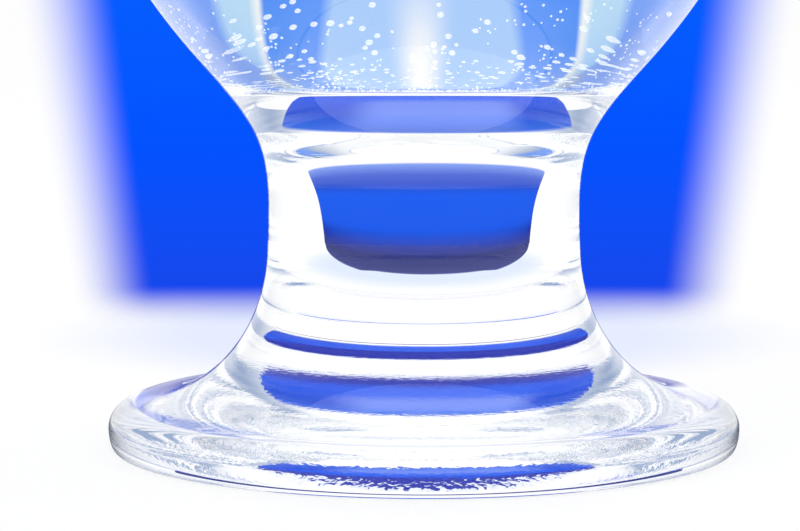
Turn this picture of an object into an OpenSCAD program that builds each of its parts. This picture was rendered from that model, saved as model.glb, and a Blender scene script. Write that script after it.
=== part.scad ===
// Water glass: a heavy goblet on a short thick stem and a wide foot, with water in its bowl.
// Every piece is turned about Z. Z = 0 is the table, and sizes are in millimetres.

/* [Foot] */
// Diameter of the foot at its widest
foot_d = 68; // [60:0.5:76]
// Height of the foot, from the table to its seam with the stem
foot_h = 20.6; // [17:0.2:26]
// Height of the foot's widest circle above the table
edge_z = 2.2; // [1.6:0.1:3]
// Thickness of the foot's rounded edge
edge_h = 4.8; // [3.8:0.1:6]
// How far in the rounding under the widest circle reaches
edge_low_in = 0.7; // [0.4:0.1:1.5]
// How far in the rounding over the widest circle reaches
edge_top_in = 3.1; // [2:0.1:4]
// Angle at which the top of the foot leaves its edge, from level
foot_slope = 3; // [1:1:10]
// Width of the flat ring that the glass stands on
ring_w = 6; // [3:0.5:8]
// Depth of the hollow under the foot
hollow_h = 0.8; // [0.4:0.1:2]
// Diameter of the flat middle of that hollow
hollow_flat_d = 26; // [10:1:36]

/* [Stem] */
// Height of the stem, from seam to seam
stem_h = 13; // [10:0.5:20]
// Diameter of the stem at its waist
waist_d = 33.4; // [28:0.2:33.6]
// Height of the waist above the foot's seam
waist_rise = 4.9; // [3:0.1:7]
// Diameter of the seam between the foot and the stem
foot_seam_d = 33.7; // [33.5:0.1:38]
// Lean of the outline at the foot's seam, from upright
foot_seam_lean = 3; // [1:1:12]
// Diameter of the seam between the stem and the bowl
bowl_seam_d = 36.2; // [34:0.2:40]
// Lean of the outline at the bowl's seam, from upright
bowl_seam_lean = 26; // [15:1:35]

/* [Bowl] */
// Height of the bowl, from its seam to the mouth
bowl_h = 96.4; // [80:0.2:120]
// Diameter where the outline turns from hollow to round
turn_d = 48.2; // [44:0.2:52]
// Height of that turn above the bowl's seam
turn_rise = 7.9; // [6:0.1:10]
// Lean of the outline at that turn, from upright
turn_lean = 41; // [34:1:46]
// Diameter of the belly, where the bowl is widest
belly_d = 80; // [72:0.5:90]
// Height of the belly above the bowl's seam
belly_rise = 47; // [38:0.5:56]
// Diameter of the mouth
mouth_d = 72.4; // [66:0.2:78]
// Lean of the wall at the mouth, inwards from upright
mouth_lean = 9; // [2:1:14]
// Thickness of the wall at the turn
turn_wall = 3.2; // [2.4:0.1:4]
// Thickness of the wall at the belly
belly_wall = 2; // [1.2:0.1:3]
// Thickness of the wall at the mouth
mouth_wall = 1.4; // [1:0.1:2.4]
// Thickness of the bowl's bottom over its seam
bottom_t = 6.7; // [4:0.1:8]
// Diameter of the flat floor inside the bowl
floor_d = 32; // [24:0.5:34]

/* [Water] */
// Depth of the water over the floor
water_depth = 50; // [30:1:64]
// Height that the water's edge climbs up the wall
meniscus_h = 1.6; // [0.6:0.1:2.4]
// Distance from the wall at which that climb starts
meniscus_w = 2.6; // [1:0.1:4]
// Gap between the water and the glass
water_gap = 0.1; // [0.05:0.05:0.3]

/* [Hidden] */
$fn = 96;
// Steps in one curve between two stations, and in one rounding
curve_steps = 20;
edge_steps = 10;

foot_r = foot_d / 2;
bowl_seam_z = foot_h + stem_h;
height = bowl_seam_z + bowl_h;
floor_z = bowl_seam_z + bottom_t;
water_z = floor_z + water_depth;
ring_in_r = foot_r - edge_low_in - ring_w;

// A station is a place on an outline: its radius, its height and its lean from upright.
// The lean is positive where the outline spreads on the way up.
foot_top_at = [foot_r - edge_top_in, edge_h, foot_slope - 90];
foot_seam_at = [foot_seam_d / 2, foot_h, -foot_seam_lean];
waist_at = [waist_d / 2, foot_h + waist_rise, 0];
bowl_seam_at = [bowl_seam_d / 2, bowl_seam_z, bowl_seam_lean];
turn_at = [turn_d / 2, bowl_seam_z + turn_rise, turn_lean];
belly_at = [belly_d / 2, bowl_seam_z + belly_rise, 0];
lip_r = mouth_wall / 2;
lip_at = [mouth_d / 2 - lip_r, height - lip_r];
mouth_at = [lip_at[0] + lip_r * cos(mouth_lean), lip_at[1] + lip_r * sin(mouth_lean), -mouth_lean];
floor_at = [floor_d / 2, floor_z, 90];

// The way an outline runs at a lean
function heading(lean) = [sin(lean), cos(lean)];

// The handle of a curve that turns like an arc, as a share of its chord
function handle(turn) = turn < 0.01 ? 1 / 3 : 2 / 3 * tan(turn / 4) / sin(turn / 2);

// The point at share t of the curve from station a to station b
function curve_point(a, b, t) =
    let (
        start = [a[0], a[1]],
        end = [b[0], b[1]],
        reach = norm(end - start) * handle(abs(b[2] - a[2])),
        after_start = start + reach * heading(a[2]),
        before_end = end - reach * heading(b[2]),
        s = 1 - t
    )
    pow(s, 3) * start + 3 * s * s * t * after_start + 3 * s * t * t * before_end + pow(t, 3) * end;

// The points of the curves through a row of stations
function outline(stations) =
    let (last = len(stations) - 2)
    [
        for (k = [0 : last])
            for (i = [0 : curve_steps - (k < last ? 1 : 0)])
                curve_point(stations[k], stations[k + 1], i / curve_steps)
    ];

// The station that lies a wall's thickness inside another
function inside(station, wall) =
    [station[0] - wall * cos(station[2]), station[1] + wall * sin(station[2]), station[2]];

// A part of an ellipse about a centre, between two angles
function rounding(centre, reach_r, reach_z, from, to) =
    [
        for (i = [0 : edge_steps])
            let (a = from + (to - from) * i / edge_steps)
            centre + [reach_r * cos(a), reach_z * sin(a)]
    ];

// The inside of the bowl from its floor to its mouth, drawn in by a gap
function cavity(gap) =
    outline([
        inside(floor_at, gap),
        inside(turn_at, turn_wall + gap),
        inside(belly_at, belly_wall + gap),
        inside(mouth_at, mouth_wall + gap)
    ]);

// A list without its first point, where it starts on the last point of the list before
function rest(points) = [for (i = [1 : len(points) - 1]) points[i]];

// A list in the opposite order
function reversed(points) = [for (i = [len(points) - 1 : -1 : 0]) points[i]];

// The hollow under the foot: a flat middle, and an arc that leaves it level and falls to the standing ring
function hollow() =
    let (
        flat_r = hollow_flat_d / 2,
        run = ring_in_r - flat_r,
        arc_r = (run * run + hollow_h * hollow_h) / (2 * hollow_h),
        centre = [flat_r, hollow_h - arc_r]
    )
    concat([[0, hollow_h]], rounding(centre, arc_r, arc_r, 90, 90 - asin(run / arc_r)));

// The foot: a wide disc with a rounded edge that sweeps up to the stem
module foot() {
    low_edge = rounding([foot_r - edge_low_in, edge_z], edge_low_in, edge_z, -90, 0);
    top_edge = rounding([foot_r - edge_top_in, edge_z], edge_top_in, edge_h - edge_z, 0, 90);
    sweep = outline([foot_top_at, foot_seam_at]);
    color([0.86, 0.92, 0.98, 0.6])
        rotate_extrude()
            polygon(concat(hollow(), low_edge, rest(top_edge), rest(sweep), [[0, foot_h]]));
}

// The stem: a short thick waist between the two seams
module stem() {
    color([0.8, 0.88, 0.97, 0.6])
        rotate_extrude()
            polygon(concat([[0, foot_h]], outline([foot_seam_at, waist_at, bowl_seam_at]), [[0, bowl_seam_z]]));
}

// The bowl: a thick bottom, a wall that thins on its way up and a melted lip
module bowl() {
    outer = outline([bowl_seam_at, turn_at, belly_at, mouth_at]);
    lip_out = rounding(lip_at, lip_r, lip_r, mouth_lean, 90);
    lip_in = rounding(lip_at, lip_r, lip_r, 90, 180 + mouth_lean);
    inner = reversed(cavity(0));
    color([0.88, 0.94, 1, 0.45])
        rotate_extrude()
            polygon(concat([[0, bowl_seam_z]], outer, rest(lip_out), rest(lip_in), rest(inner), [[0, floor_z]]));
}

// The water: it fills the bowl up to its level, and its edge climbs the wall a little
module water() {
    wall = cavity(water_gap);
    edge_top = water_z + meniscus_h;
    edge_r = lookup(edge_top, [for (p = wall) [p[1], p[0]]]);
    wetted = [for (p = wall) if (p[1] < edge_top) p];
    climb = rounding([edge_r - meniscus_w, edge_top], meniscus_w, meniscus_h, 0, -90);
    color([0.7, 0.85, 1, 0.5])
        rotate_extrude()
            polygon(concat([[0, floor_z + water_gap]], wetted, climb, [[0, water_z]]));
}

foot();
stem();
bowl();
water();
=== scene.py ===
"""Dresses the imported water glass: a clear goblet on a short thick stem, with sparkling water in its bowl.

Each glass piece is drawn as an outline and spun about Z, in metres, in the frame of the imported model.
"""

import logging
import math
import random
from dataclasses import dataclass
from enum import Enum
from typing import Callable, Dict, List, Sequence, Tuple, Union

import bpy
from mathutils import Matrix, Vector

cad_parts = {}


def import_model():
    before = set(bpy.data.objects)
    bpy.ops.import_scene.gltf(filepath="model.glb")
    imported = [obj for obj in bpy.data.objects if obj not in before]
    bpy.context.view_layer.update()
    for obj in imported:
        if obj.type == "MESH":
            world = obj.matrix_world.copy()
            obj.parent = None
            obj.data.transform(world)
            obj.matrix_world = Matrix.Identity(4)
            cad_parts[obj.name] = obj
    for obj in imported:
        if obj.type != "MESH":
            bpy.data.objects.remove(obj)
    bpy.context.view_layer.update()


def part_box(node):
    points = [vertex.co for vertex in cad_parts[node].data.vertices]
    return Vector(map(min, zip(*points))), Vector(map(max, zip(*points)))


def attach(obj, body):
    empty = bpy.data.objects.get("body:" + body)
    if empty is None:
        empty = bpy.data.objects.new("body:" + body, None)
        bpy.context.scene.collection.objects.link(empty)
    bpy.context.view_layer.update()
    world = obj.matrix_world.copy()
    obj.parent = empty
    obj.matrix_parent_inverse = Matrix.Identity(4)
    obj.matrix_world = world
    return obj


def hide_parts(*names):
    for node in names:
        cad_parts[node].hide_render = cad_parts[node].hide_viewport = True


LOG = logging.getLogger("water_glass")
MM = 0.001
BODY = "root"
SPIN_STEPS = 192
CURVE_STEPS = 40
ARC_STEPS = 16
DISC_STEPS = 8
WELD = 1e-7
HAIR = 10 * WELD
STRAIGHT_TURN = 1e-4
SMOOTH_ANGLE = math.radians(32)

# Parts of a face's unit normal: it faces that way, lies level, or opens upwards at all
FACING = 0.5
LEVEL = 0.999
OPEN = 0.02

Point = Tuple[float, float]
Span = Tuple[float, float]
Place = Tuple[float, float, float]
Colour = Tuple[float, float, float]
Tones = Tuple[Tuple[float, Colour], ...]
Socket = bpy.types.NodeSocket
Value = Union[float, Colour, Socket]
FaceTest = Callable[[bpy.types.MeshPolygon], bool]


class Slot(Enum):
    """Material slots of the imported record."""

    GLASS = "glass"
    WATER = "water"


# Outlines


@dataclass(frozen=True)
class Station:
    """A place on an outline: radius, height and lean from upright, in metres and degrees."""

    r: float
    z: float
    lean: float

    def heading(self) -> Vector:
        """The way that the outline runs here."""
        lean = math.radians(self.lean)
        return Vector((math.sin(lean), math.cos(lean)))

    def inside(self, wall: float) -> "Station":
        """The station that lies a wall's thickness inside this one."""
        lean = math.radians(self.lean)
        return Station(self.r - wall * math.cos(lean), self.z + wall * math.sin(lean), self.lean)


def curve(start: Station, end: Station) -> List[Point]:
    """Draws the arc-like curve between two stations.

    Args:
        start: Station that the curve leaves.
        end: Station that it reaches.

    Returns:
        The points from start to end, both included.
    """
    turn = math.radians(abs(end.lean - start.lean))
    share = 2 / 3 * math.tan(turn / 4) / math.sin(turn / 2) if turn > STRAIGHT_TURN else 1 / 3
    first = Vector((start.r, start.z))
    last = Vector((end.r, end.z))
    reach = (last - first).length * share
    after = first + reach * start.heading()
    before = last - reach * end.heading()
    points = []
    for i in range(CURVE_STEPS + 1):
        t = i / CURVE_STEPS
        s = 1 - t
        at = s ** 3 * first + 3 * s * s * t * after + 3 * s * t * t * before + t ** 3 * last
        points.append((at.x, at.y))
    return points


def arc(centre: Point, reach_r: float, reach_z: float, begin: float, end: float) -> List[Point]:
    """Draws a part of an ellipse.

    Args:
        centre: Radius and height of its centre.
        reach_r: Half width.
        reach_z: Half height.
        begin: Angle where it starts, in degrees.
        end: Angle where it ends, in degrees.

    Returns:
        The points from begin to end, both included.
    """
    angles = [math.radians(begin + (end - begin) * i / ARC_STEPS) for i in range(ARC_STEPS + 1)]
    return [(centre[0] + reach_r * math.cos(a), centre[1] + reach_z * math.sin(a)) for a in angles]


def straight(start: Point, end: Point) -> List[Point]:
    """Draws a straight stretch from start to end, both included."""
    shares = [i / DISC_STEPS for i in range(DISC_STEPS + 1)]
    return [(start[0] + (end[0] - start[0]) * t, start[1] + (end[1] - start[1]) * t) for t in shares]


def chain(*stretches: Sequence[Point]) -> List[Point]:
    """Joins stretches end to end and drops the points that repeat."""
    points: List[Point] = []
    for stretch in stretches:
        for point in stretch:
            if not points or math.dist(points[-1], point) > WELD:
                points.append(point)
    return points


@dataclass(frozen=True)
class GlassSizes:
    """Sizes of the whole glass, in metres, with leans and slopes in degrees.

    The main ones come from the frame, and the rest are stated here.
    """

    foot_r: float
    foot_h: float
    bowl_seam_z: float
    bowl_seam_r: float
    belly_r: float
    height: float
    water_low: float
    water_top: float
    edge_z: float = 2.2 * MM
    edge_h: float = 4.8 * MM
    edge_low_in: float = 0.7 * MM
    edge_top_in: float = 3.1 * MM
    foot_slope: float = 3
    ring_w: float = 6 * MM
    hollow_h: float = 0.8 * MM
    hollow_flat_r: float = 13 * MM
    foot_seam_r: float = 16.85 * MM
    foot_seam_lean: float = 3
    waist_r: float = 16.7 * MM
    waist_rise: float = 4.9 * MM
    bowl_seam_lean: float = 26
    turn_r: float = 24.1 * MM
    turn_rise: float = 7.9 * MM
    turn_lean: float = 41
    belly_rise: float = 47 * MM
    mouth_r: float = 36.2 * MM
    mouth_lean: float = 9
    turn_wall: float = 3.2 * MM
    belly_wall: float = 2 * MM
    mouth_wall: float = 1.4 * MM
    floor_r: float = 16 * MM
    meniscus_h: float = 1.6 * MM
    meniscus_w: float = 2.6 * MM
    water_gap: float = 0.1 * MM

    @classmethod
    def from_frame(cls) -> "GlassSizes":
        """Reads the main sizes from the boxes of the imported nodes."""
        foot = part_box("foot")[1]
        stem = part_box("stem")[1]
        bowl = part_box("bowl")[1]
        water_low, water_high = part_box("water")
        return cls(
            foot_r=foot.x,
            foot_h=foot.z,
            bowl_seam_z=stem.z,
            bowl_seam_r=stem.x,
            belly_r=bowl.x,
            height=bowl.z,
            water_low=water_low.z,
            water_top=water_high.z,
        )

    @property
    def foot_top_at(self) -> Station:
        """Where the top of the foot leaves its rounded edge."""
        return Station(self.foot_r - self.edge_top_in, self.edge_h, self.foot_slope - 90)

    @property
    def foot_seam_at(self) -> Station:
        """The seam between the foot and the stem."""
        return Station(self.foot_seam_r, self.foot_h, -self.foot_seam_lean)

    @property
    def waist_at(self) -> Station:
        """The narrowest place of the stem."""
        return Station(self.waist_r, self.foot_h + self.waist_rise, 0)

    @property
    def bowl_seam_at(self) -> Station:
        """The seam between the stem and the bowl."""
        return Station(self.bowl_seam_r, self.bowl_seam_z, self.bowl_seam_lean)

    @property
    def turn_at(self) -> Station:
        """Where the bowl's outline turns from hollow to round."""
        return Station(self.turn_r, self.bowl_seam_z + self.turn_rise, self.turn_lean)

    @property
    def belly_at(self) -> Station:
        """The widest place of the bowl."""
        return Station(self.belly_r, self.bowl_seam_z + self.belly_rise, 0)

    @property
    def lip_centre(self) -> Point:
        """Centre of the round lip's section."""
        half = self.mouth_wall / 2
        return self.mouth_r - half, self.height - half

    @property
    def mouth_at(self) -> Station:
        """Where the outer wall meets the round lip."""
        lean = math.radians(self.mouth_lean)
        half = self.mouth_wall / 2
        r, z = self.lip_centre
        return Station(r + half * math.cos(lean), z + half * math.sin(lean), -self.mouth_lean)

    @property
    def floor_at(self) -> Station:
        """The edge of the flat floor inside the bowl."""
        return Station(self.floor_r, self.water_low - self.water_gap, 90)

    def cavity(self, gap: float) -> List[Point]:
        """The inside of the bowl from its floor to its mouth, drawn in by a gap."""
        floor = self.floor_at.inside(gap)
        turn = self.turn_at.inside(self.turn_wall + gap)
        belly = self.belly_at.inside(self.belly_wall + gap)
        mouth = self.mouth_at.inside(self.mouth_wall + gap)
        return chain(curve(floor, turn), curve(turn, belly), curve(belly, mouth))


# Modelling by operators


def start_clean() -> None:
    """Leaves edit mode and deselects everything."""
    if bpy.context.object and bpy.context.object.mode != "OBJECT":
        bpy.ops.object.mode_set(mode="OBJECT")
    bpy.ops.object.select_all(action="DESELECT")


def spin_outline(name: str, outline: Sequence[Point]) -> bpy.types.Object:
    """Draws an outline from one vertex and spins it about Z into a closed piece.

    Args:
        name: Name of the piece.
        outline: Radii and heights from axis to axis.

    Returns:
        The new object, at the origin, with outward normals.
    """
    start_clean()
    bpy.ops.mesh.primitive_plane_add(size=MM, location=(0, 0, 0))
    piece = bpy.context.object
    piece.name = name
    piece.data.name = name
    bpy.ops.object.mode_set(mode="EDIT")
    bpy.ops.mesh.select_mode(type="VERT")
    bpy.ops.mesh.select_all(action="SELECT")
    bpy.ops.mesh.merge(type="CENTER")
    bpy.ops.transform.translate(value=(outline[0][0], 0, outline[0][1]))
    for before, after in zip(outline, outline[1:]):
        step = (after[0] - before[0], 0, after[1] - before[1])
        bpy.ops.mesh.extrude_region_move(TRANSFORM_OT_translate={"value": step})
    bpy.ops.mesh.select_all(action="SELECT")
    bpy.ops.mesh.spin(steps=SPIN_STEPS, angle=2 * math.pi, center=(0, 0, 0), axis=(0, 0, 1))
    bpy.ops.mesh.select_all(action="SELECT")
    bpy.ops.mesh.remove_doubles(threshold=HAIR)
    bpy.ops.mesh.normals_make_consistent(inside=False)
    bpy.ops.object.mode_set(mode="OBJECT")
    bpy.ops.object.shade_smooth_by_angle(angle=SMOOTH_ANGLE)
    return piece


def dress(piece: bpy.types.Object, finish: "Finish") -> None:
    """Gives the whole piece one finish."""
    piece.data.materials.clear()
    piece.data.materials.append(finish.material())


def dress_faces(piece: bpy.types.Object, finish: "Finish", wanted: FaceTest) -> None:
    """Gives some faces of a piece a finish of their own.

    Args:
        piece: The piece.
        finish: Finish of the faces.
        wanted: Test that picks the faces by their place or normal.
    """
    piece.data.materials.append(finish.material())
    start_clean()
    bpy.context.view_layer.objects.active = piece
    piece.select_set(True)
    bpy.ops.object.mode_set(mode="EDIT")
    bpy.ops.mesh.select_mode(type="FACE")
    bpy.ops.mesh.select_all(action="DESELECT")
    bpy.ops.object.mode_set(mode="OBJECT")
    for face in piece.data.polygons:
        face.select = wanted(face)
    bpy.ops.object.mode_set(mode="EDIT")
    piece.active_material_index = len(piece.data.materials) - 1
    bpy.ops.object.material_slot_assign()
    bpy.ops.object.mode_set(mode="OBJECT")


def place(piece: bpy.types.Object, slot: Slot, *nodes: str) -> None:
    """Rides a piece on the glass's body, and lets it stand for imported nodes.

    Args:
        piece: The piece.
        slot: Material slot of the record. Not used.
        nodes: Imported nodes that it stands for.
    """
    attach(piece, BODY)
    if nodes:
        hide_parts(*nodes)
    LOG.info("%s: %d faces", piece.name, len(piece.data.polygons))


# Finishes

GLASS_IOR = 1.52
WATER_IOR = 1.333
WHITE: Colour = (1.0, 1.0, 1.0)
RISE: Span = (0.0, 1.0)
FALL: Span = (1.0, 0.0)


class Glow(Enum):
    """Shaders that give off light of their own."""

    SURFACE = "ShaderNodeEmission"
    WORLD = "ShaderNodeBackground"


class NodeGraph:
    """A short way to write shader nodes and links."""

    def __init__(self, tree: bpy.types.NodeTree) -> None:
        """Takes over a node tree and empties it."""
        self.tree = tree
        tree.nodes.clear()

    def add(self, kind: str, **settings: object) -> bpy.types.Node:
        """Adds a node and sets its properties."""
        node = self.tree.nodes.new(kind)
        for name, value in settings.items():
            setattr(node, name, value)
        return node

    def link(self, source: Socket, target: Socket) -> None:
        """Links an output to an input."""
        self.tree.links.new(source, target)

    def put(self, value: Value, socket: Socket) -> None:
        """Links an output to an input, or sets the input to a number or a colour."""
        if isinstance(value, bpy.types.NodeSocket):
            self.link(value, socket)
        else:
            socket.default_value = (*value, 1) if isinstance(value, tuple) else value

    def fill(self, node: bpy.types.Node, values: Dict[str, Value]) -> bpy.types.Node:
        """Puts numbers, colours or outputs into a node's inputs and returns it."""
        for name, value in values.items():
            self.put(value, node.inputs[name])
        return node

    def math(self, operation: str, first: Value, second: Value = 0.0) -> Socket:
        """Adds a Math node on two numbers or outputs."""
        node = self.add("ShaderNodeMath", operation=operation)
        self.put(first, node.inputs[0])
        self.put(second, node.inputs[1])
        return node.outputs[0]

    def product(self, first: Value, *others: Value) -> Socket:
        """Multiplies numbers or outputs with each other."""
        for other in others:
            first = self.math("MULTIPLY", first, other)
        return first

    def rest(self, share: Value) -> Socket:
        """What a share leaves of 1."""
        return self.math("SUBTRACT", 1.0, share)

    def ramp(self, value: Socket, span: Span, ends: Span = RISE) -> Socket:
        """Maps a value smoothly from a span to two ends, held beyond them."""
        node = self.add("ShaderNodeMapRange", interpolation_type="SMOOTHSTEP")
        names = ("Value", "From Min", "From Max", "To Min", "To Max")
        self.fill(node, dict(zip(names, (value, *span, *ends))))
        return node.outputs[0]

    def colours(self, share: Socket, stops: Tones) -> Socket:
        """Grades a share from 0 to 1 through colours at given stops."""
        node = self.add("ShaderNodeValToRGB")
        elements = node.color_ramp.elements
        while len(elements) > 1:
            elements.remove(elements[-1])
        for at, colour in stops:
            stop = elements[0] if at == stops[0][0] else elements.new(at)
            stop.position = at
            stop.color = (*colour, 1)
        self.link(share, node.inputs["Fac"])
        return node.outputs["Color"]

    def blend(self, share: Socket, first: Socket, second: Socket) -> Socket:
        """Blends two colours: the first at a share of 0, the second at 1."""
        node = self.add("ShaderNodeMix", data_type="RGBA")
        return self.fill(node, {"Factor": share, "A": first, "B": second}).outputs["Result"]

    def mix(self, share: Socket, first: Socket, second: Socket) -> Socket:
        """Mixes two shaders: the first at a share of 0, the second at 1."""
        node = self.add("ShaderNodeMixShader")
        for value, socket in zip((share, first, second), node.inputs):
            self.link(value, socket)
        return node.outputs["Shader"]

    def light(self, kind: Glow, colour: Value, strength: Value = 1.0) -> Socket:
        """Adds a shader that gives off light."""
        return self.fill(self.add(kind.value), {"Color": colour, "Strength": strength}).outputs[0]

    def axes(self, coordinates: str = "Object") -> List[Socket]:
        """X, Y and Z of the place or direction that is shaded."""
        node = self.add("ShaderNodeSeparateXYZ")
        self.link(self.add("ShaderNodeTexCoord").outputs[coordinates], node.inputs["Vector"])
        return list(node.outputs)

    def noise(self, values: Dict[str, Value]) -> Socket:
        """Adds a noise on the object's own coordinates."""
        coords = self.add("ShaderNodeTexCoord").outputs["Object"]
        return self.fill(self.add("ShaderNodeTexNoise"), {"Vector": coords, **values}).outputs["Fac"]

    def path(self, name: str) -> Socket:
        """One of the values that tell how a ray came here."""
        return self.add("ShaderNodeLightPath").outputs[name]

    def seen_in_glass(self) -> Socket:
        """1 on rays that come by a reflection or through clear glass, and 0 on others."""
        return self.math("MAXIMUM", self.path("Is Glossy Ray"), self.path("Is Transmission Ray"))

    def looked_at(self) -> Socket:
        """1 on rays that the camera, a reflection or clear glass looks along, and 0 on others."""
        return self.math("MAXIMUM", self.path("Is Camera Ray"), self.seen_in_glass())

    def looked_through(self) -> Socket:
        """1 on rays that come through clear glass unscattered, and 0 on others."""
        unscattered = self.math("COMPARE", self.path("Diffuse Depth"), 0.0)
        return self.product(unscattered, self.path("Is Transmission Ray"))

    def seen_through(self, brightened: float) -> Socket:
        """A strength of 1, raised behind clear glass to make up for what the glass takes."""
        return self.math("ADD", self.product(self.looked_through(), brightened), 1.0)

    def mirrored(self, outside: Socket, inside: Socket) -> Socket:
        """Picks the rays that the glass has mirrored.

        Args:
            outside: Share of a ray that the outside of the glass has mirrored.
            inside: Share of a ray that was mirrored once inside the glass and has left it.

        Returns:
            The share of the ray that it lands on.
        """
        through = self.path("Is Transmission Ray")
        last = self.product(self.path("Is Glossy Ray"), self.rest(through), outside)
        once = self.product(self.math("COMPARE", self.path("Glossy Depth"), 1.0), through, inside)
        return self.math("MAXIMUM", last, once)


@dataclass(frozen=True)
class Finish:
    """A finish with a name. Each kind of finish writes its own nodes."""

    name: str

    def shader(self, graph: NodeGraph) -> Socket:
        """Writes the nodes and returns the surface's shader."""
        raise NotImplementedError

    def material(self) -> bpy.types.Material:
        """The finish as a material, built once."""
        if self.name in bpy.data.materials:
            return bpy.data.materials[self.name]
        made = bpy.data.materials.new(self.name)
        made.use_nodes = True
        graph = NodeGraph(made.node_tree)
        graph.link(self.shader(graph), graph.add("ShaderNodeOutputMaterial").inputs["Surface"])
        return made


@dataclass(frozen=True)
class PressedSurface:
    """The soft waves of pressed glass and the faint marks that handling leaves on it."""

    name: str = "pressed_surface"
    wave_detail: float = 1.5
    wave_roughness: float = 0.4
    mark_detail: float = 4.0
    mark_span: Span = (0.55, 0.8)

    def group(self) -> bpy.types.NodeTree:
        """The node group that all clear finishes share, built once."""
        if self.name in bpy.data.node_groups:
            return bpy.data.node_groups[self.name]
        tree = bpy.data.node_groups.new(self.name, "ShaderNodeTree")
        for label in ("Wave Size", "Mark Size", "Marks"):
            tree.interface.new_socket(label, in_out="INPUT", socket_type="NodeSocketFloat")
        for label in ("Height", "Roughness"):
            tree.interface.new_socket(label, in_out="OUTPUT", socket_type="NodeSocketFloat")
        graph = NodeGraph(tree)
        given = graph.add("NodeGroupInput").outputs
        waves = graph.noise(
            {"Scale": given["Wave Size"], "Detail": self.wave_detail, "Roughness": self.wave_roughness}
        )
        marks = graph.noise({"Scale": given["Mark Size"], "Detail": self.mark_detail})
        smear = graph.product(graph.ramp(marks, self.mark_span), given["Marks"])
        graph.fill(graph.add("NodeGroupOutput"), {"Height": waves, "Roughness": smear})
        return tree


@dataclass(frozen=True)
class ClearFinish(Finish):
    """A clear material that bends light, with faint waves and marks."""

    ior: float
    tint: Colour = (0.995, 0.999, 1.0)
    wave_size: float = 90.0
    wave_depth: float = 0.02 * MM
    mark_size: float = 450.0
    marks: float = 0.03

    def shader(self, graph: NodeGraph) -> Socket:
        """Writes the nodes of the clear surface."""
        pressed = graph.fill(graph.add("ShaderNodeGroup", node_tree=PressedSurface().group()), {
            "Wave Size": self.wave_size,
            "Mark Size": self.mark_size,
            "Marks": self.marks,
        })
        bump = graph.fill(graph.add("ShaderNodeBump"), {
            "Strength": 1.0,
            "Distance": self.wave_depth,
            "Height": pressed.outputs["Height"],
        })
        return graph.fill(graph.add("ShaderNodeBsdfPrincipled"), {
            "Base Color": self.tint,
            "IOR": self.ior,
            "Metallic": 0.0,
            "Transmission Weight": 1.0,
            "Roughness": pressed.outputs["Roughness"],
            "Normal": bump.outputs["Normal"],
        }).outputs["BSDF"]


@dataclass(frozen=True)
class JoinedFinish(Finish):
    """A face inside one clear body, such as a melted seam, which light crosses unbent."""

    def shader(self, graph: NodeGraph) -> Socket:
        """Writes the node that lets light pass."""
        return graph.add("ShaderNodeBsdfTransparent").outputs["BSDF"]


@dataclass(frozen=True)
class GasFinish(Finish):
    """Gas in water: small bubbles that throw back most of the light that meets them, made whiter by a
    painted white glow of their own.
    """

    clearness: float = 0.2
    roughness: float = 0.05
    cover: float = 0.5
    # Strength of the painted glow: white light that the bubbles give off though they are no lamp.
    painted_glow: float = 0.28
    tones: Tones = ((0.3, (0.86, 0.93, 1.0)), (0.7, WHITE))
    patch_size: float = 700.0

    def shader(self, graph: NodeGraph) -> Socket:
        """Writes the nodes of the bubbles' patchy white and their painted glow."""
        patches = graph.noise({"Scale": self.patch_size})
        return graph.fill(graph.add("ShaderNodeBsdfPrincipled"), {
            "Base Color": graph.colours(patches, self.tones),
            "IOR": WATER_IOR,
            "Metallic": 0.0,
            "Transmission Weight": self.clearness,
            "Roughness": self.roughness,
            "Alpha": self.cover,
            # Painted glow: a faint white emission that stands in for the light that the bubbles throw back.
            "Emission Color": WHITE,
            "Emission Strength": self.painted_glow,
        }).outputs["BSDF"]


GLASS = ClearFinish("clear_pressed_glass", GLASS_IOR)
UNDERSIDE = ClearFinish("stippled_underside", GLASS_IOR, wave_size=1800.0, wave_depth=0.012 * MM)
WETTED = ClearFinish("wetted_glass", GLASS_IOR / WATER_IOR, marks=0.0)
SEAM = JoinedFinish("melted_seam")
WATER = ClearFinish(
    "water_surface", WATER_IOR, tint=(0.97, 0.99, 1.0), wave_size=120.0, wave_depth=0.01 * MM, marks=0.0
)
CONTACT = JoinedFinish("water_against_glass")
GAS = GasFinish("gas_bubble")


# Pieces


@dataclass
class Foot:
    """The wide foot with its rounded edge, standing ring and shallow hollow."""

    sizes: GlassSizes

    def outline(self) -> List[Point]:
        """Draws the section from the hollow's flat middle round the edge to the seam."""
        s = self.sizes
        ring_out = s.foot_r - s.edge_low_in
        ring_in = ring_out - s.ring_w
        run = ring_in - s.hollow_flat_r
        fall_r = (run ** 2 + s.hollow_h ** 2) / (2 * s.hollow_h)
        turned = math.degrees(math.asin(run / fall_r))
        middle = straight((0, s.hollow_h), (s.hollow_flat_r, s.hollow_h))
        fall = arc((s.hollow_flat_r, s.hollow_h - fall_r), fall_r, fall_r, 90, 90 - turned)
        ring = straight((ring_in, 0), (ring_out, 0))
        low_edge = arc((ring_out, s.edge_z), s.edge_low_in, s.edge_z, -90, 0)
        top_edge = arc((s.foot_r - s.edge_top_in, s.edge_z), s.edge_top_in, s.edge_h - s.edge_z, 0, 90)
        sweep = curve(s.foot_top_at, s.foot_seam_at)
        seam = straight((s.foot_seam_r, s.foot_h), (0, s.foot_h))
        return chain(middle, fall, ring, low_edge, top_edge, sweep, seam)

    def build(self) -> None:
        """Models, dresses and places the foot."""
        piece = spin_outline("glass_foot", self.outline())
        dress(piece, GLASS)
        seam_z = self.sizes.foot_h - HAIR
        dress_faces(piece, SEAM, lambda face: face.center.z > seam_z)
        dress_faces(piece, UNDERSIDE, self.is_hollow)
        place(piece, Slot.GLASS, "foot")

    def is_hollow(self, face: bpy.types.MeshPolygon) -> bool:
        """True for a face of the hollow under the foot."""
        return HAIR < face.center.z < self.sizes.hollow_h + HAIR and face.normal.z < -FACING


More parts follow.
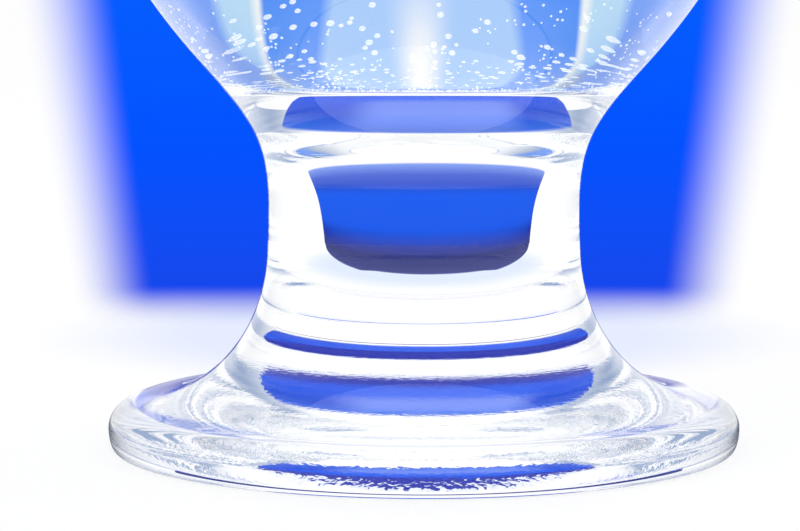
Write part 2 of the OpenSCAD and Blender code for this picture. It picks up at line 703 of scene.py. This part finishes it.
@dataclass
class Stem:
    """The short thick waist between the two seams."""

    sizes: GlassSizes

    def outline(self) -> List[Point]:
        """Draws the section from the lower seam to the upper one."""
        s = self.sizes
        low = straight((0, s.foot_h), (s.foot_seam_r, s.foot_h))
        waist = chain(curve(s.foot_seam_at, s.waist_at), curve(s.waist_at, s.bowl_seam_at))
        top = straight((s.bowl_seam_r, s.bowl_seam_z), (0, s.bowl_seam_z))
        return chain(low, waist, top)

    def build(self) -> None:
        """Models, dresses and places the stem."""
        piece = spin_outline("glass_stem", self.outline())
        dress(piece, GLASS)
        low = self.sizes.foot_h + HAIR
        high = self.sizes.bowl_seam_z - HAIR
        dress_faces(piece, SEAM, lambda face: not low < face.center.z < high)
        place(piece, Slot.GLASS, "stem")


@dataclass
class Bowl:
    """The tulip bowl: a thick bottom, a wall that thins upwards and a melted lip."""

    sizes: GlassSizes

    def outline(self) -> List[Point]:
        """Draws the section from the seam up the outside, over the lip and down the inside."""
        s = self.sizes
        seam = straight((0, s.bowl_seam_z), (s.bowl_seam_r, s.bowl_seam_z))
        outside = chain(
            curve(s.bowl_seam_at, s.turn_at),
            curve(s.turn_at, s.belly_at),
            curve(s.belly_at, s.mouth_at),
        )
        half = s.mouth_wall / 2
        lip = chain(
            arc(s.lip_centre, half, half, s.mouth_lean, 90),
            arc(s.lip_centre, half, half, 90, 180 + s.mouth_lean),
        )
        inside = list(reversed(s.cavity(0)))
        floor = straight((s.floor_r, s.floor_at.z), (0, s.floor_at.z))
        return chain(seam, outside, lip, inside, floor)

    def build(self) -> None:
        """Models, dresses and places the bowl."""
        piece = spin_outline("glass_bowl", self.outline())
        dress(piece, GLASS)
        seam_z = self.sizes.bowl_seam_z + HAIR
        dress_faces(piece, SEAM, lambda face: face.center.z < seam_z)
        dress_faces(piece, WETTED, self.is_wetted)
        place(piece, Slot.GLASS, "bowl")

    def is_wetted(self, face: bpy.types.MeshPolygon) -> bool:
        """True for an inner face that the water covers."""
        inward = face.normal.x * face.center.x + face.normal.y * face.center.y < 0
        level = face.normal.z > LEVEL
        above_floor = face.center.z > self.sizes.floor_at.z - HAIR
        return above_floor and (inward or level) and face.center.z < self.sizes.water_top


@dataclass
class Water:
    """The water in the bowl, with its edge drawn up the wall."""

    sizes: GlassSizes

    @property
    def level(self) -> float:
        """Height of the still surface."""
        return self.sizes.water_top - self.sizes.meniscus_h

    def edge_radius(self) -> float:
        """Radius at which the water's edge meets the wall."""
        wall = self.sizes.cavity(self.sizes.water_gap)
        for low, high in zip(wall, wall[1:]):
            if low[1] <= self.sizes.water_top <= high[1]:
                share = (self.sizes.water_top - low[1]) / (high[1] - low[1])
                return low[0] + (high[0] - low[0]) * share
        return wall[-1][0]

    def outline(self) -> List[Point]:
        """Draws the section from the floor up the wall and back over the surface."""
        s = self.sizes
        wall = [point for point in s.cavity(s.water_gap) if point[1] < s.water_top]
        floor = straight((0, s.water_low), (s.floor_r, s.water_low))
        start = self.edge_radius() - s.meniscus_w
        climb = arc((start, s.water_top), s.meniscus_w, s.meniscus_h, 0, -90)
        surface = straight((start, self.level), (0, self.level))
        return chain(floor, wall, climb, surface)

    def build(self) -> None:
        """Models, dresses and places the water."""
        piece = spin_outline("sparkling_water", self.outline())
        dress(piece, CONTACT)
        dress_faces(piece, WATER, self.is_free)
        place(piece, Slot.WATER, "water")

    def is_free(self, face: bpy.types.MeshPolygon) -> bool:
        """True for a face of the open surface."""
        return face.center.z > self.level - HAIR and face.normal.z > OPEN


@dataclass(frozen=True)
class BubbleZone:
    """A stretch of the bowl's inside, from the floor's edge up the wall, and the bubbles on it."""

    count: int
    low: float
    high: float
    densest: float
    radius: Span
    cluster: int
    sector: Span = (0, 360)


@dataclass
class Bubbles:
    """Small gas bubbles that cling to the wall and the floor of the bowl."""

    sizes: GlassSizes
    seed: int = 12
    sides: int = 8
    rings: int = 6
    foot_cut: float = 0.75
    clear: float = 0.03 * MM
    spread: float = 0.9 * MM
    apart: float = 1.15
    least_r: float = 4 * MM
    zones: Tuple[BubbleZone, ...] = (
        BubbleZone(90, -13 * MM, -1 * MM, -2 * MM, (0.07 * MM, 0.13 * MM), 2),
        BubbleZone(460, -1.2 * MM, 2.4 * MM, 0.6 * MM, (0.06 * MM, 0.12 * MM), 3),
        BubbleZone(620, 1.5 * MM, 20 * MM, 2.5 * MM, (0.08 * MM, 0.17 * MM), 7),
        BubbleZone(160, 8 * MM, 48 * MM, 12 * MM, (0.10 * MM, 0.22 * MM), 4),
        BubbleZone(360, 5 * MM, 26 * MM, 13 * MM, (0.15 * MM, 0.27 * MM), 3, (20, 160)),
    )

    def path(self) -> List[Point]:
        """The floor and the wall that the bubbles cling to, from the axis upwards."""
        s = self.sizes
        floor = straight((0, s.water_low), (s.floor_r, s.water_low))
        return chain(floor, s.cavity(s.water_gap))

    def spot(self, path: Sequence[Point], run: float) -> Tuple[Point, Point]:
        """Finds a place on the path.

        Args:
            path: Radii and heights from the axis upwards.
            run: Length along the path from the floor's edge, below zero on the floor.

        Returns:
            The place, and the way that faces into the water there.
        """
        left = run + self.sizes.floor_r
        for start, end in zip(path, path[1:]):
            step = math.dist(start, end)
            if left <= step:
                break
            left -= step
        along = ((end[0] - start[0]) / step, (end[1] - start[1]) / step)
        return (start[0] + along[0] * left, start[1] + along[1] * left), (-along[1], along[0])

    def model(self) -> bpy.types.Object:
        """Models one bubble of one millimetre radius, cut flat where it clings."""
        start_clean()
        bpy.ops.mesh.primitive_uv_sphere_add(
            segments=self.sides, ring_count=self.rings, radius=MM, location=(0, 0, 0)
        )
        bubble = bpy.context.object
        bpy.ops.object.mode_set(mode="EDIT")
        bpy.ops.mesh.select_all(action="SELECT")
        cut = (0, 0, -self.foot_cut * MM)
        bpy.ops.mesh.bisect(plane_co=cut, plane_no=(0, 0, -1), use_fill=True, clear_outer=True)
        bpy.ops.mesh.select_all(action="SELECT")
        bpy.ops.mesh.normals_make_consistent(inside=False)
        bpy.ops.object.mode_set(mode="OBJECT")
        bpy.ops.object.shade_smooth()
        return bubble

    def places(self) -> List[Matrix]:
        """Scatters the bubbles in loose clusters, none touching another."""
        rng = random.Random(self.seed)
        path = self.path()
        taken: List[Tuple[Vector, float]] = []
        placed: List[Matrix] = []
        for zone in self.zones:
            wanted = len(placed) + zone.count
            while len(placed) < wanted:
                turn = math.radians(rng.uniform(*zone.sector))
                run = rng.triangular(zone.low, zone.high, zone.densest)
                for _ in range(rng.randint(1, zone.cluster)):
                    radius = rng.uniform(*zone.radius)
                    aside = rng.gauss(0, self.spread)
                    climb = min(max(run + rng.gauss(0, self.spread), zone.low), zone.high)
                    (r, z), facing = self.spot(path, climb)
                    angle = turn + aside / max(r, self.least_r)
                    normal = Vector((facing[0] * math.cos(angle), facing[0] * math.sin(angle), facing[1]))
                    centre = Vector((r * math.cos(angle), r * math.sin(angle), z))
                    centre += normal * (self.foot_cut * radius + self.clear)
                    if any((centre - other).length < self.apart * (radius + wide) for other, wide in taken):
                        continue
                    taken.append((centre, radius))
                    turned = normal.to_track_quat("Z", "Y").to_matrix().to_4x4()
                    placed.append(Matrix.Translation(centre) @ turned @ Matrix.Scale(radius / MM, 4))
        return placed

    def build(self) -> None:
        """Models one bubble, copies it to all places and joins the copies."""
        bubble = self.model()
        copies = []
        for matrix in self.places():
            copy = bubble.copy()
            copy.data = bubble.data.copy()
            copy.data.transform(matrix)
            bpy.context.scene.collection.objects.link(copy)
            copies.append(copy)
        start_clean()
        bubble.select_set(True)
        bpy.ops.object.delete()
        for copy in copies:
            copy.select_set(True)
        bpy.context.view_layer.objects.active = copies[0]
        bpy.ops.object.join()
        piece = bpy.context.object
        piece.name = "gas_bubbles"
        piece.data.name = piece.name
        dress(piece, GAS)
        place(piece, Slot.WATER)


# Studio


@dataclass(frozen=True)
class Camera:
    """The camera at the photograph's viewing angle."""

    focal_px: float = 3300
    frame_px: float = 800
    sensor: float = 36
    aside: float = -2.57 * MM
    distance: float = 353.1 * MM
    height: float = 59.3 * MM
    pitch: float = 6.456
    nearest: float = 1 * MM

    def build(self) -> None:
        """Adds the camera and makes it the scene's own."""
        data = bpy.data.cameras.new("camera")
        data.sensor_width = self.sensor
        data.lens = self.sensor * self.focal_px / self.frame_px
        data.clip_start = self.nearest
        camera = bpy.data.objects.new("camera", data)
        camera.location = (self.aside, -self.distance, self.height)
        camera.rotation_euler = (math.radians(90 - self.pitch), 0, 0)
        bpy.context.scene.collection.objects.link(camera)
        bpy.context.scene.camera = camera


DIM: Colour = (0.06, 0.09, 0.14)


@dataclass(frozen=True)
class Surround:
    """Soft white light all round, dimmer where it is mirrored, with a graded cool sky behind the glass.

    Directions are parts of a unit vector: x to the right, y straight back and z up. The sky shows only
    through the clear layers of the bowl: past sky_layers of them, and mirrored less than sky_turns times.
    """

    brightened: float = 0.16
    side: Colour = (0.33, 0.43, 0.65)
    side_x: Span = (0.38, 0.70)
    side_top: Span = (0.85, 0.95)
    facing: Span = (-0.9, -0.7)
    ahead: Span = (0.3, 0.6)
    ahead_top: Span = (0.45, 0.70)
    sky_layers: float = 2.5
    sky_turns: float = 1.5
    sky_x: float = 0.012
    sky_y: Span = (-0.45, -0.25)
    sky_low: Span = (0.16, 0.30)
    sky_top: Span = (0.60, 0.66)
    top_rise: float = 0.2
    spread: float = 0.35
    spread_from: float = 0.4
    reach: float = 0.5
    tones: Tones = (
        (0.28, (0.385, 0.610, 1.000)),
        (0.32, (0.085, 0.300, 1.000)),
        (0.51, (0.085, 0.300, 1.000)),
        (0.53, (0.950, 1.000, 1.000)),
        (0.54, (0.950, 1.000, 1.000)),
        (0.57, (0.550, 0.800, 1.000)),
        (0.69, (0.550, 0.800, 1.000)),
        (0.76, (0.200, 0.380, 1.000)),
    )
    glow_x: Span = (0.0, 0.055)
    glow_at: Span = (0.24, 0.46)

    def build(self) -> None:
        """Builds the world."""
        world = bpy.data.worlds.new("studio")
        bpy.context.scene.world = world
        world.use_nodes = True
        graph = NodeGraph(world.node_tree)
        x, y, z = graph.axes("Generated")
        turns = graph.path("Glossy Depth")
        beside = graph.product(
            graph.ramp(graph.math("ABSOLUTE", x), self.side_x),
            graph.ramp(z, self.side_top, FALL),
            graph.math("MINIMUM", turns, 1.0),
        )
        white = graph.light(Glow.WORLD, WHITE, graph.seen_through(self.brightened))
        around = graph.mix(beside, white, graph.light(Glow.WORLD, self.side))
        clear = graph.product(
            self.sky_share(graph, x, y, z),
            graph.math("LESS_THAN", turns, self.sky_turns),
            graph.math("GREATER_THAN", graph.path("Transmission Depth"), self.sky_layers),
            graph.looked_through(),
        )
        through = graph.mix(clear, around, graph.light(Glow.WORLD, self.sky_tone(graph, x, z)))
        front = graph.product(y, -1.0)
        ahead = graph.product(graph.ramp(front, self.ahead), graph.ramp(z, self.ahead_top, FALL))
        dimmed = graph.mirrored(graph.ramp(front, self.facing), ahead)
        whole = graph.mix(dimmed, through, graph.light(Glow.WORLD, DIM))
        graph.link(whole, graph.add("ShaderNodeOutputWorld").inputs["Surface"])

    def aside(self, graph: NodeGraph, x: Socket) -> Socket:
        """How far a direction lies to either side of the sky's middle."""
        return graph.math("ABSOLUTE", graph.math("SUBTRACT", x, self.sky_x))

    def sky_share(self, graph: NodeGraph, x: Socket, y: Socket, z: Socket) -> Socket:
        """The share in which the sky shows: behind the glass, and higher at its sides."""
        raised = graph.math("SUBTRACT", z, graph.product(self.aside(graph, x), self.top_rise))
        return graph.product(
            graph.ramp(y, self.sky_y),
            graph.ramp(z, self.sky_low),
            graph.ramp(raised, self.sky_top, FALL),
        )

    def sky_tone(self, graph: NodeGraph, x: Socket, z: Socket) -> Socket:
        """The colour of the sky, from a white middle to its sides, which spread upwards."""
        aside = self.aside(graph, x)
        widened = graph.product(graph.math("SUBTRACT", z, self.spread_from), self.spread)
        zone = graph.math("DIVIDE", graph.math("SUBTRACT", aside, widened), self.reach)
        glow = graph.product(graph.ramp(aside, self.glow_x, FALL), graph.ramp(z, self.glow_at))
        white = graph.add("ShaderNodeRGB").outputs[0]
        white.default_value = (*WHITE, 1)
        return graph.blend(glow, graph.colours(zone, self.tones), white)


@dataclass(frozen=True)
class Card(Finish):
    """A cool card behind the glass and its finish, with soft edges. Its front shows."""

    low_r: float
    widening: float
    axis_y: float
    side_fade: Span
    tones: Tones
    axis_x: float = -1.5 * MM
    top_fade: Span = (47 * MM, 51 * MM)
    tone_height: float = 50 * MM

    def side(self, graph: NodeGraph, x: Socket, z: Socket, widening: Value) -> Socket:
        """How far a place lies from the card's middle, as a share of its half width there."""
        aside = graph.math("ABSOLUTE", graph.math("SUBTRACT", x, self.axis_x))
        return graph.math("DIVIDE", aside, graph.math("ADD", graph.product(z, widening), self.low_r))

    def soft(self, graph: NodeGraph, z: Socket, side: Socket, tone: Socket, *shares: Socket) -> Socket:
        """Lets the card's edges fade into clear air.

        Args:
            graph: The nodes of the card's finish.
            z: Height on the card.
            side: Distance from its middle, as a share of its half width.
            tone: Its colour.
            shares: Other shares in which it shows.

        Returns:
            The shader of its surface.
        """
        front = graph.rest(graph.add("ShaderNodeNewGeometry").outputs["Backfacing"])
        edges = graph.product(graph.ramp(side, self.side_fade, FALL), graph.ramp(z, self.top_fade, FALL))
        clear = graph.add("ShaderNodeBsdfTransparent").outputs["BSDF"]
        return graph.mix(graph.product(edges, front, *shares), clear, graph.light(Glow.SURFACE, tone))


@dataclass(frozen=True)
class BackCard(Card):
    """A graded card, bent towards the glass. It shows in the glass, and the camera doesn't see it.

    Where the glass mirrors it, it has a straight foot, narrows upwards and takes other tones.
    """

    name: str = "cool_card"
    low_r: float = 43 * MM
    widening: float = 0.235
    axis_y: float = 113 * MM
    side_fade: Span = (0.88, 0.95)
    tones: Tones = (
        (0.00, (0.040, 0.050, 0.260)),
        (0.10, (0.025, 0.035, 0.220)),
        (0.17, (0.015, 0.022, 0.200)),
        (0.24, (0.008, 0.035, 0.420)),
        (0.32, (0.012, 0.110, 0.900)),
        (0.52, (0.012, 0.120, 0.950)),
        (0.64, (0.020, 0.080, 0.650)),
        (0.76, (0.060, 0.130, 0.700)),
        (0.92, (0.200, 0.330, 0.920)),
    )
    side_tones: Tones = (
        (0.00, (0.000, 0.010, 0.400)),
        (0.24, (0.000, 0.015, 0.450)),
        (0.32, (0.005, 0.090, 0.880)),
        (0.50, (0.005, 0.090, 0.850)),
        (0.70, (0.005, 0.070, 0.700)),
        (0.94, (0.020, 0.140, 0.850)),
    )
    turned_tones: Tones = (
        (0.00, (0.000, 0.010, 0.400)),
        (0.24, (0.000, 0.015, 0.450)),
        (0.32, (0.012, 0.110, 0.900)),
        (0.50, (0.012, 0.120, 0.950)),
        (0.56, (0.150, 0.250, 0.930)),
        (0.70, (0.160, 0.280, 0.980)),
        (0.84, (0.100, 0.230, 0.960)),
        (0.94, (0.050, 0.160, 0.750)),
    )
    height: float = 51 * MM
    foot_fade: Span = (0.0, 0.8 * MM)
    foot_lift: float = 11 * MM
    narrowing: float = 0.3
    middle_at: Span = (0.14, 0.30)

    def build(self) -> None:
        """Models the half ring, wider at its top, with its front towards the glass."""
        start_clean()
        bpy.ops.mesh.primitive_circle_add(
            vertices=SPIN_STEPS,
            radius=self.low_r,
            fill_type="NOTHING",
            location=(self.axis_x, self.axis_y, 0),
        )
        card = bpy.context.object
        bpy.ops.object.transform_apply(location=True, rotation=True, scale=True)
        bpy.ops.object.mode_set(mode="EDIT")
        bpy.ops.mesh.select_all(action="SELECT")
        bpy.ops.mesh.bisect(plane_co=(0, self.axis_y, 0), plane_no=(0, 1, 0), clear_outer=True)
        bpy.ops.mesh.select_all(action="SELECT")
        bpy.ops.mesh.extrude_region_move(TRANSFORM_OT_translate={"value": (0, 0, self.height)})
        wider = 1 + self.widening * self.height / self.low_r
        centre = (self.axis_x, self.axis_y, self.height)
        bpy.ops.transform.resize(value=(wider, wider, 1), center_override=centre)
        bpy.ops.object.mode_set(mode="OBJECT")
        if min(face.normal.y for face in card.data.polygons) > -FACING:
            card.data.flip_normals()
        card.name = "back_card"
        dress(card, self)

    def shader(self, graph: NodeGraph) -> Socket:
        """Writes the graded tones, and the foot that curves up at its sides."""
        x, _, z = graph.axes()
        turned = graph.math("MINIMUM", graph.path("Glossy Depth"), 1.0)
        slope = graph.math("SUBTRACT", self.widening, graph.product(turned, self.narrowing))
        side = self.side(graph, x, z, slope)
        depth = graph.math("MAXIMUM", graph.rest(graph.product(side, side)), 0.0)
        bow = graph.rest(graph.math("SQRT", depth))
        lift = graph.product(bow, self.foot_lift, graph.rest(turned))
        foot = graph.ramp(graph.math("SUBTRACT", z, lift), self.foot_fade)
        share = graph.math("DIVIDE", z, self.tone_height)
        middle = graph.ramp(side, self.middle_at, FALL)
        sides = graph.colours(share, self.side_tones)
        mirrored = graph.blend(middle, sides, graph.colours(share, self.turned_tones))
        tone = graph.blend(turned, graph.colours(share, self.tones), mirrored)
        return self.soft(graph, z, side, tone, foot, graph.seen_in_glass())


@dataclass(frozen=True)
class FlatCard(Card):
    """A plain card, upright behind the glass, which the camera alone sees."""

    name: str = "flat_card"
    low_r: float = 46 * MM
    widening: float = 0.17
    axis_y: float = 95 * MM
    side_fade: Span = (0.74, 0.99)
    tones: Tones = (
        (0.00, (0.010, 0.060, 0.800)),
        (0.50, (0.001, 0.085, 1.000)),
        (1.00, (0.002, 0.114, 0.990)),
    )
    width: float = 112 * MM
    foot_fade: Span = (0.0, 6 * MM)

    def build(self) -> None:
        """Models the upright square, with its front towards the camera."""
        start_clean()
        bpy.ops.mesh.primitive_plane_add(
            size=self.width,
            location=(self.axis_x, self.axis_y, self.width / 2),
            rotation=(math.radians(90), 0, 0),
        )
        card = bpy.context.object
        bpy.ops.object.transform_apply(location=True, rotation=True, scale=True)
        card.name = "flat_card"
        dress(card, self)

    def shader(self, graph: NodeGraph) -> Socket:
        """Writes the plain tones and the soft foot."""
        x, _, z = graph.axes()
        side = self.side(graph, x, z, self.widening)
        tone = graph.colours(graph.math("DIVIDE", z, self.tone_height), self.tones)
        foot = graph.ramp(z, self.foot_fade)
        return self.soft(graph, z, side, tone, foot, graph.path("Is Camera Ray"))


@dataclass(frozen=True)
class Floor(Finish):
    """A plain pale floor and its finish, a hair below the standing ring, with a painted patch of the card's
    cool light at the back.
    """

    name: str = "pale_floor"
    radius: float = 1.5
    sides: int = 96
    drop: float = 0.1 * MM
    tone: Colour = (0.94, 0.945, 0.955)
    roughness: float = 0.6
    glow: float = 0.7
    brightened: float = 0.12
    # Painted light: the floor's white turns cool blue round a place behind the glass, standing in for the
    # card's light.
    cool: Colour = (0.52, 0.64, 1.0)
    cool_y: float = 90 * MM
    cool_r: Span = (28 * MM, 54 * MM)
    painted_light_share: float = 0.6
    facing: Span = (-60 * MM, -20 * MM)
    ahead: Span = (20 * MM, 60 * MM)

    def build(self) -> None:
        """Adds the floor disc and its finish."""
        start_clean()
        bpy.ops.mesh.primitive_circle_add(
            vertices=self.sides,
            radius=self.radius,
            fill_type="NGON",
            location=(0, 0, -self.drop),
        )
        floor = bpy.context.object
        floor.name = "floor"
        dress(floor, self)

    def shader(self, graph: NodeGraph) -> Socket:
        """Writes the floor's lit surface, its white and its painted patch of the card's cool light."""
        matt = graph.fill(graph.add("ShaderNodeBsdfPrincipled"), {
            "Base Color": self.tone,
            "Roughness": self.roughness,
            "Specular IOR Level": 0.0,
        })
        x, y, _ = graph.axes()
        back = graph.math("SUBTRACT", y, self.cool_y)
        away = graph.math("SQRT", graph.math("ADD", graph.product(x, x), graph.product(back, back)))
        # Painted light: the cool tint of the card's light, strongest near the card and fading outwards.
        painted_card_light = graph.ramp(away, self.cool_r, (self.painted_light_share, 0.0))
        tone = graph.colours(painted_card_light, ((0.0, WHITE), (1.0, self.cool)))
        white = graph.light(Glow.SURFACE, tone, graph.seen_through(self.brightened))
        looked = graph.product(graph.looked_at(), self.glow)
        shown = graph.math("MAXIMUM", looked, graph.path("Is Transmission Ray"))
        lit = graph.mix(shown, matt.outputs["BSDF"], white)
        front = graph.product(y, -1.0)
        dimmed = graph.mirrored(graph.ramp(front, self.facing), graph.ramp(front, self.ahead))
        return graph.mix(dimmed, lit, graph.light(Glow.SURFACE, DIM))


@dataclass(frozen=True)
class SoftBox:
    """A large soft lamp that looks at the glass."""

    name: str
    at: Place
    width: float
    height: float
    power: float
    target: Place = (0, 0, 50 * MM)

    def build(self) -> None:
        """Adds the lamp, which lights the glass but doesn't show in it."""
        data = bpy.data.lights.new(self.name, "AREA")
        data.shape = "RECTANGLE"
        data.size = self.width
        data.size_y = self.height
        data.energy = self.power
        lamp = bpy.data.objects.new(self.name, data)
        lamp.location = self.at
        lamp.visible_glossy = False
        lamp.visible_transmission = False
        lamp.rotation_euler = (Vector(self.target) - Vector(self.at)).to_track_quat("-Z", "Y").to_euler()
        bpy.context.scene.collection.objects.link(lamp)


KEY = SoftBox("key", at=(-0.5, -0.35, 0.6), width=0.4, height=0.5, power=0.7)
RIM = SoftBox("rim", at=(0.55, 0.25, 0.45), width=0.3, height=0.5, power=0.45)


@dataclass(frozen=True)
class LightPaths:
    """How far light is followed, so that it crosses all the clear layers."""

    bounces: int = 64
    glossy: int = 48
    transparent: int = 32

    def apply(self) -> None:
        """Sets the limits, with sharp reflections and plain colours."""
        cycles = bpy.context.scene.cycles
        cycles.max_bounces = self.bounces
        cycles.transmission_bounces = self.bounces
        cycles.glossy_bounces = self.glossy
        cycles.transparent_max_bounces = self.transparent
        cycles.blur_glossy = 0.0
        bpy.context.scene.view_settings.view_transform = "Standard"


def main() -> None:
    """Builds the studio and the pieces in order."""
    logging.basicConfig(level=logging.INFO)
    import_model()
    sizes = GlassSizes.from_frame()
    for prop in (Camera(), Surround(), BackCard(), FlatCard(), Floor(), KEY, RIM):
        prop.build()
    for part in (Foot(sizes), Stem(sizes), Bowl(sizes), Water(sizes), Bubbles(sizes)):
        part.build()
    LightPaths().apply()


if __name__ == "__main__":
    main()
